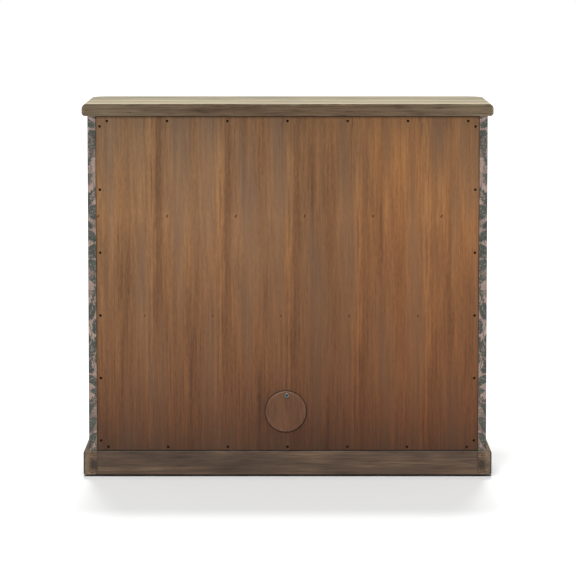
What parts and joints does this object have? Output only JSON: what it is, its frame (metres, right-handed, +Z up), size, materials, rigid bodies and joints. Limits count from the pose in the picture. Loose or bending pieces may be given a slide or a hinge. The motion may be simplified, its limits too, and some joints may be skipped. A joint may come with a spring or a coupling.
{
  "type": "storage cabinet",
  "caption": "Floor-standing storage cabinet: drawers on telescopic slides over hinged cupboard doors, moulded plinth, and a screwed back panel with a swinging cable-port cover.",
  "frame": {"origin": "on the floor, under the middle of the cabinet's bounding box", "axes": "+Z up; the doors and drawers face -Y; the screwed back panel, which the picture shows, faces +Y; left and right are as seen from the front, so right is +X"},
  "size_m": [1.016, 0.446, 0.928],
  "materials": {
    "weathered_oak": "brown-grey stained oak, matt lacquer",
    "walnut_veneer": "walnut-stained slip-matched veneer, satin lacquer",
    "foliage_print": "board faced with an all-over foliage print, matt lacquer",
    "face_frame_wood": "brown-grey stained hardwood, matt lacquer",
    "interior_wood": "brown stained board, matt",
    "drawer_box_wood": "pale hardwood, clear matt lacquer",
    "zinc_plated_steel": "bright zinc plate",
    "black_screw_steel": "black phosphate",
    "aged_brass": "aged, satin",
    "grey_nylon": "moulded nylon",
    "brown_plastic": "moulded plastic"
  },
  "bodies": {
    "carcass": {"back_panel": "walnut_veneer", "back_panel_screws": "black_screw_steel", "bottom_front_rail": "face_frame_wood", "bottom_panel": "interior_wood", "cover_pivot_screw": "zinc_plated_steel", "drawer_deck": "face_frame_wood", "drawer_partition": "face_frame_wood", "drawer_slide_outers": "zinc_plated_steel", "floor_glides": "grey_nylon", "front_plinth_rail": "weathered_oak", "front_top_rail": "face_frame_wood", "hinge_frame_leaves": "aged_brass", "hinge_pins": "aged_brass", "left_back_cleat": "interior_wood", "left_plinth_rail": "weathered_oak", "left_side_panel": "foliage_print", "magnetic_catches": "brown_plastic", "plinth_corner_blocks": "interior_wood", "rear_plinth_rail": "weathered_oak", "rear_top_rail": "interior_wood", "right_back_cleat": "interior_wood", "right_plinth_rail": "weathered_oak", "right_side_panel": "foliage_print", "shelf": "interior_wood", "shelf_pins": "zinc_plated_steel", "top_panel": "weathered_oak"},
    "left_slide_middles": {"left_drawer_slide_middles": "zinc_plated_steel"},
    "left_drawer": {"left_drawer_box_back": "drawer_box_wood", "left_drawer_box_front": "drawer_box_wood", "left_drawer_face": "foliage_print", "left_drawer_floor": "drawer_box_wood", "left_drawer_knob": "aged_brass", "left_drawer_knob_screw": "black_screw_steel", "left_drawer_left_side": "drawer_box_wood", "left_drawer_right_side": "drawer_box_wood", "left_drawer_slide_inners": "zinc_plated_steel"},
    "left_door": {"left_door_hinge_leaves": "aged_brass", "left_door_knob": "aged_brass", "left_door_knob_screw": "black_screw_steel", "left_door_panel": "foliage_print", "left_door_strike_plate": "zinc_plated_steel"},
    "right_slide_middles": {"right_drawer_slide_middles": "zinc_plated_steel"},
    "right_drawer": {"right_drawer_box_back": "drawer_box_wood", "right_drawer_box_front": "drawer_box_wood", "right_drawer_face": "foliage_print", "right_drawer_floor": "drawer_box_wood", "right_drawer_knob": "aged_brass", "right_drawer_knob_screw": "black_screw_steel", "right_drawer_left_side": "drawer_box_wood", "right_drawer_right_side": "drawer_box_wood", "right_drawer_slide_inners": "zinc_plated_steel"},
    "right_door": {"right_door_hinge_leaves": "aged_brass", "right_door_knob": "aged_brass", "right_door_knob_screw": "black_screw_steel", "right_door_panel": "foliage_print", "right_door_strike_plate": "zinc_plated_steel"},
    "cable_cover": {"cable_cover": "walnut_veneer"}
  },
  "joints": [
    {"name": "left_drawer_slide", "type": "slide", "parent": "carcass", "child": "left_drawer", "axis": [0, -1, 0], "range_m": [0, 0.33]},
    {"name": "left_slide_middle_travel", "type": "slide", "parent": "carcass", "child": "left_slide_middles", "axis": [0, -1, 0], "range_m": [0, 0.165]},
    {"name": "left_door_hinge", "type": "hinge", "parent": "carcass", "child": "left_door", "pos_m": [-0.47275, -0.20025, 0.401], "axis": [0, 0, -1], "range_deg": [0, 170]},
    {"name": "right_drawer_slide", "type": "slide", "parent": "carcass", "child": "right_drawer", "axis": [0, -1, 0], "range_m": [0, 0.33]},
    {"name": "right_slide_middle_travel", "type": "slide", "parent": "carcass", "child": "right_slide_middles", "axis": [0, -1, 0], "range_m": [0, 0.165]},
    {"name": "right_door_hinge", "type": "hinge", "parent": "carcass", "child": "right_door", "pos_m": [0.47275, -0.20025, 0.401], "axis": [0, 0, 1], "range_deg": [0, 170]},
    {"name": "cable_cover_pivot", "type": "hinge", "parent": "carcass", "child": "cable_cover", "pos_m": [0.0017, 0.21425, 0.2039], "axis": [0, 1, 0], "range_deg": [-180, 180]}
  ],
  "couplings": [
    {"joint": "left_slide_middle_travel", "follows": "left_drawer_slide", "ratio": 0.5},
    {"joint": "right_slide_middle_travel", "follows": "right_drawer_slide", "ratio": 0.5}
  ]
}
